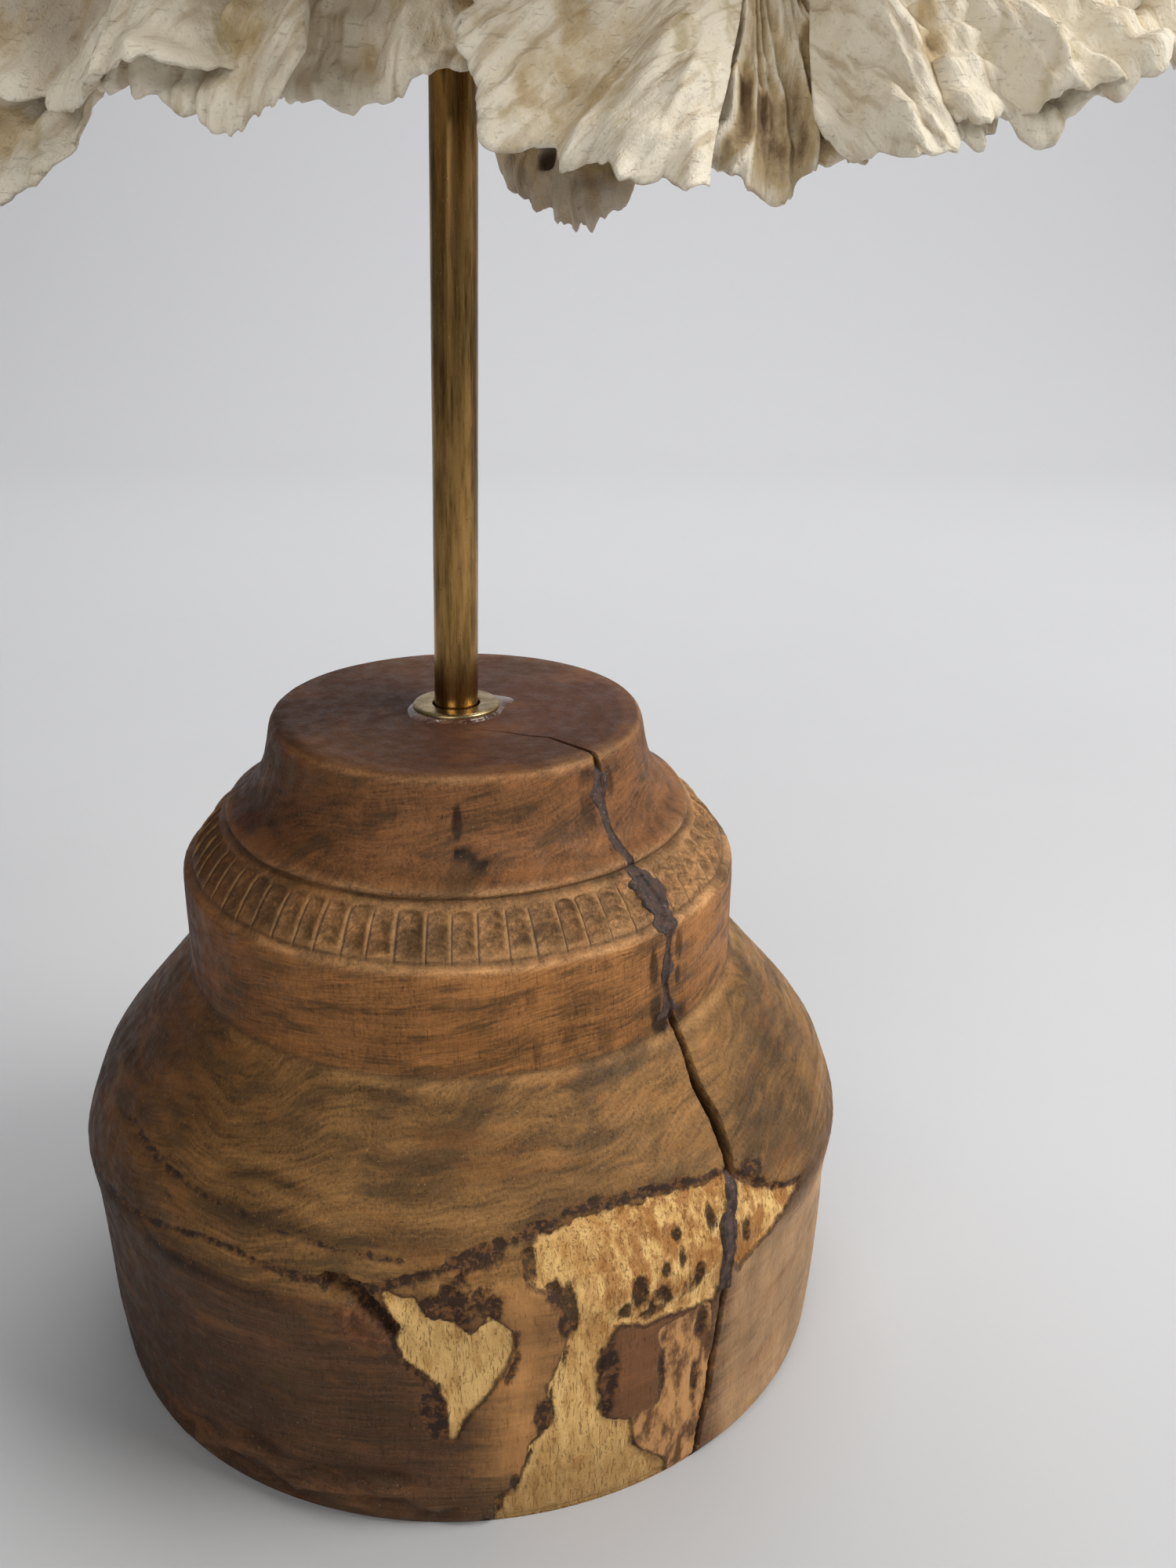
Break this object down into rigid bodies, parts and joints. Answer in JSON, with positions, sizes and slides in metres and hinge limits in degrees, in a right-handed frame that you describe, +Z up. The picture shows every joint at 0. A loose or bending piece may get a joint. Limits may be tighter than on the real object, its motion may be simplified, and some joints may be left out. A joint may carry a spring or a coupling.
{
  "type": "mounted ruffled plate coral",
  "caption": "Cluster of ruffled, ribbed coral plates on an upright brass rod in an old turned wooden foot with a carved ring and a split side; a display piece.",
  "frame": {"origin": "centre of the wooden foot's flat underside", "axes": "+Z up along the stand, -Y towards the front with the split and the bare patch, +X to the right seen from the front"},
  "size_m": [0.2264, 0.155, 0.3892],
  "materials": {
    "wood": "old dark turned wood, waxed above, bare pale sapwood where the bark edge has gone",
    "filler": "dark dried wood filler",
    "brass": "aged brown brass, drawn lengthways",
    "brass_washer": "aged brass, softly worn",
    "glue": "clear dried glue, glossy",
    "coral": "bleached chalky coral with ochre stains in its folds"
  },
  "bodies": {
    "root": {"wood_foot": "wood", "crack_filler": "filler", "rod": "brass", "washer": "brass_washer", "glue_bead": "glue", "coral_core": "coral", "coral_front_left": "coral", "coral_front_centre": "coral", "coral_front_right": "coral", "coral_far_right": "coral", "coral_under": "coral", "coral_left_inner": "coral", "coral_left_lobe": "coral", "coral_left_plate": "coral", "coral_far_left": "coral", "coral_back_left": "coral", "coral_back": "coral", "coral_back_right": "coral", "coral_mid_left": "coral", "coral_mid_front_left": "coral", "coral_mid_front": "coral", "coral_mid_right": "coral", "coral_mid_back_right": "coral", "coral_mid_back_left": "coral", "coral_upper_left": "coral", "coral_upper_front": "coral", "coral_upper_right": "coral", "coral_upper_back": "coral", "coral_crown_left": "coral", "coral_crown_right": "coral", "coral_crown_back": "coral"}
  },
  "joints": []
}
